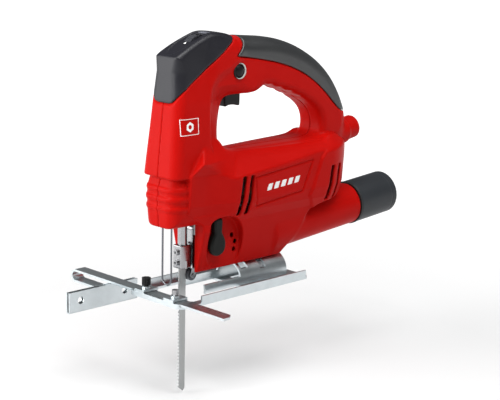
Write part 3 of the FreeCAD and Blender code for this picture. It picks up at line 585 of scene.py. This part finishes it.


# The red and slate mouldings carry a painted edge highlight: a lighter tone on their sharp edges.
RED = material("red_moulding", (0.40, 0.0028, 0.0014), 0.38, grain=0.03, grain_size=0.55, vary=0.06,
               edge_highlight=(0.52, 0.012, 0.008), specular=0.04)
SLATE = material("slate_moulding", (0.009, 0.009, 0.013), 0.40, grain=0.03, grain_size=0.5, vary=0.10,
                 edge_highlight=(0.05, 0.052, 0.06), specular=0.3)
GRIP_RUBBER = material("grip_rubber", (0.011, 0.012, 0.013), 0.42, grain=0.10, grain_size=0.8, vary=0.12,
                       specular=0.8)
PAD = material("cap_pad_moulding", (0.10, 0.105, 0.125), 0.40, grain=0.03, grain_size=0.5, vary=0.10)
BLACK = material("black_moulding", (0.004, 0.004, 0.0045), 0.38, specular=0.2, grain=0.02, grain_size=0.5,
                 vary=0.2)
LEVER = material("lever_moulding", (0.004, 0.005, 0.004), 0.40, specular=0.15, grain=0.03, grain_size=0.5,
                 vary=0.15)
ADAPTER = material("adapter_moulding", (0.020, 0.023, 0.027), 0.46, specular=0.3, grain=0.03,
                   grain_size=0.5, vary=0.12)
SEAL = material("seal_rubber", (0.008, 0.008, 0.008), 0.6, grain=0.02)
# Pale grey for the painted highlight crescent on the lock button's ring; CAD parts with the pale_ring slot
# get it too.
PALE = material("pale_ring", (0.42, 0.43, 0.40), 0.45, grain=0.02, vary=0.1)
ZINC = material("zinc_plate", (0.60, 0.65, 0.67), 0.31, metallic=1.0, grain=0.02, grain_size=1.2, vary=0.14,
                patch=9.0, stretch=(1, 0.35, 1))
NICKEL = material("plated_steel", (0.36, 0.36, 0.37), 0.22, metallic=1.0, grain=0.01, vary=0.10, patch=6)
BLADE = material("blade_steel", (0.40, 0.41, 0.41), 0.45, metallic=1.0, grain=0.015, grain_size=0.4,
                 vary=0.12, patch=5, stretch=(3, 1, 0.3))
DARK_STEEL = material("dark_steel", (0.16, 0.165, 0.18), 0.40, metallic=1.0, grain=0.02, vary=0.2, patch=5)
IRON = material("iron_laminations", (0.20, 0.20, 0.21), 0.55, metallic=1.0, grain=0.05, stretch=(4, 0.2, 0.2))
COPPER = material("copper_wire", (0.70, 0.26, 0.11), 0.35, metallic=1.0, grain=0.15, grain_size=0.7,
                  stretch=(0.3, 2, 2))
BRONZE = material("bush_bronze", (0.55, 0.36, 0.15), 0.45, metallic=1.0, grain=0.03)
ALUMINIUM = material("cast_aluminium", (0.55, 0.56, 0.57), 0.5, metallic=1.0, grain=0.08, grain_size=0.9)
CARBON = material("carbon_brush", (0.02, 0.02, 0.022), 0.6, grain=0.03)
BOARD = material("circuit_board", (0.02, 0.13, 0.05), 0.35, coat=0.3, grain=0.02)
WHITE_MARK = material("white_mark", (0.80, 0.80, 0.79), 0.5, grain=0.01, vary=0.04)

FINISHES = {
    "red_plastic": RED, "slate_plastic": SLATE, "grip_rubber": GRIP_RUBBER, "black_plastic": BLACK,
    "adapter_plastic": ADAPTER, "seal_rubber": SEAL, "pale_ring": PALE, "zinc_sheet": ZINC,
    "plated_steel": NICKEL, "blade_steel": BLADE, "dark_steel": DARK_STEEL, "iron_laminations": IRON,
    "copper_wire": COPPER, "bush_bronze": BRONZE, "cast_aluminium": ALUMINIUM, "carbon": CARBON,
    "circuit_board": BOARD,
}

# Swapped finishes. The wire guard gets dark steel. The lock ring gets black as painted shade of its recess;
# its lit rear side is the painted highlight crescent.
FINISH_SWAPS_AND_SHADE = {"lock_ring": BLACK, "wire_guard": DARK_STEEL}

for part in frame["record"]["subparts"]:
    cad_object = frame["nodes"][part["node"]]
    for entry in cad_object.material_slots:
        entry.material = FINISH_SWAPS_AND_SHADE.get(part["node"], FINISHES[part["material_slot"]])


def finish_piece(piece, look):
    """Gives a piece its material."""
    piece.data.materials.clear()
    piece.data.materials.append(look)


finish_piece(left, RED)
finish_piece(right, RED)
finish_piece(cap, SLATE)
finish_piece(grip, GRIP_RUBBER)

EXTRAS = [
    (lever_grip(), "orbit_lever", "pendulum_lever", LEVER, "black_plastic"),
    (trigger_key(), "trigger_key", "trigger", BLACK, "black_plastic"),
    (lock_cap(), "lock_key", "lock_button", BLACK, "black_plastic"),
    # Painted highlight: pale crescent standing in for the lit inner wall of the lock button's recess.
    (lock_glint(), "housing", None, PALE, "pale_ring"),
    (sleeve(), "adapter", "dust_adapter", ADAPTER, "adapter_plastic"),
    (clamp_block(), "plunger", "blade_clamp", NICKEL, "plated_steel"),
    (decal("side_badge", frame_outline, BADGE + (-25, -17)), "housing", None, WHITE_MARK, "pale_ring"),
    (decal("panel_bars", bars_outline, (66, 111, 83, 95, -32.5, -29), PANEL_DEPTH), "housing", None,
     WHITE_MARK, "pale_ring"),
    (index_mark(), "housing", None, WHITE_MARK, "pale_ring"),
    (cap_pad(), "housing", None, PAD, "slate_plastic"),
    (bar_scale(), "fence", None, DARK_STEEL, "dark_steel"),
]
for piece, body, node, look, slot in EXTRAS:
    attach(piece, body)
    if node:
        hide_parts(node)
    finish_piece(piece, look)


# ---------------------------------------------------------------- studio

AIM = Vector((0.06, 0.0, 0.06))


def studio():
    """Pale floor with a painted glow that is dimmer near the object and white further out, soft surroundings
    and four softboxes.
    """
    floor_z = CAD_BOUNDS[0][2] - 0.002
    reach = 12.0
    corners = [(-reach, -reach, floor_z), (reach, -reach, floor_z), (reach, reach, floor_z),
               (-reach, reach, floor_z)]
    floor_mesh = bpy.data.meshes.new("floor")
    floor_mesh.from_pydata(corners, [], [(0, 1, 2, 3)])
    floor = new_object("floor", floor_mesh)
    surface = material("studio_floor", (0.50, 0.50, 0.50), 0.8, grain=0.05, vary=0.01, patch=200)
    tree = surface.node_tree
    tree.nodes["Principled BSDF"].inputs["Emission Color"].default_value = (1, 1, 1, 1)
    spot = tree.nodes.new("ShaderNodeVectorMath")
    spot.operation = "LENGTH"
    # Painted light: the floor's emission rises from 0.32 near the object, a painted shade under and around
    # it, to 1.05 further out.
    glow = tree.nodes.new("ShaderNodeMapRange")
    glow.inputs["From Min"].default_value = 0.35
    glow.inputs["From Max"].default_value = 1.3
    glow.inputs["To Min"].default_value = 0.32
    glow.inputs["To Max"].default_value = 1.05
    tree.links.new(tree.nodes["Texture Coordinate"].outputs["Object"], spot.inputs[0])
    tree.links.new(spot.outputs["Value"], glow.inputs["Value"])
    tree.links.new(glow.outputs["Result"], tree.nodes["Principled BSDF"].inputs["Emission Strength"])
    floor_mesh.materials.append(surface)
    world = bpy.data.worlds.new("studio")
    bpy.context.scene.world = world
    world.use_nodes = True
    nodes, links = world.node_tree.nodes, world.node_tree.links
    direction = nodes.new("ShaderNodeTexCoord")
    split = nodes.new("ShaderNodeSeparateXYZ")
    ramp = nodes.new("ShaderNodeValToRGB")
    for element, place in zip(ramp.color_ramp.elements, (0.0, 0.10)):
        element.position = place
        element.color = (0.30, 0.30, 0.30, 1)
    for place, level in ((0.30, 0.16), (0.75, 0.10), (1.0, 0.22)):
        ramp.color_ramp.elements.new(place).color = (level, level * 1.02, level * 1.04, 1)
    links.new(direction.outputs["Generated"], split.inputs[0])
    links.new(split.outputs["Z"], ramp.inputs[0])
    links.new(ramp.outputs[0], nodes["Background"].inputs["Color"])
    nodes["Background"].inputs["Strength"].default_value = 1.0

    def softbox(name, azimuth, elevation, distance, size, power):
        lamp = bpy.data.lights.new(name, "AREA")
        lamp.shape = "RECTANGLE"
        lamp.size, lamp.size_y = size
        lamp.energy = power
        holder = new_object(name, lamp)
        a, e = math.radians(azimuth), math.radians(elevation)
        away = Vector((math.sin(a) * math.cos(e), -math.cos(a) * math.cos(e), math.sin(e)))
        holder.location = AIM + away * distance
        holder.rotation_euler = away.to_track_quat("Z", "Y").to_euler()

    softbox("key", -104, 28, 1.2, (0.6, 0.9), 14)
    softbox("front", -134, 6, 1.3, (0.7, 0.8), 7)
    softbox("side", 30, 52, 1.5, (0.8, 0.6), 3.4)
    softbox("top", -20, 72, 1.3, (0.9, 0.9), 19)


def camera():
    """Three-quarter view of the left side from the front, a little above."""
    azimuth, elevation, roll = math.radians(-44.14), math.radians(13.26), math.radians(1.11)
    distance = 1.21334
    back = Vector((math.sin(azimuth) * math.cos(elevation), -math.cos(azimuth) * math.cos(elevation),
                   math.sin(elevation)))
    right = Vector((math.cos(azimuth), math.sin(azimuth), 0))
    up = back.cross(right)
    turned_right = right * math.cos(roll) + up * math.sin(roll)
    turned_up = up * math.cos(roll) - right * math.sin(roll)
    lens = bpy.data.cameras.new("camera")
    lens.sensor_width = 36.0
    lens.lens = 101.5
    lens.shift_x = 0.031
    lens.shift_y = 0.030
    lens.clip_end = 20
    holder = new_object("camera", lens)
    axes = Matrix((turned_right, turned_up, back)).transposed().to_4x4()
    axes.translation = AIM + back * distance
    holder.matrix_world = axes
    bpy.context.scene.camera = holder


studio()
camera()
bpy.context.scene.view_settings.view_transform = "Standard"
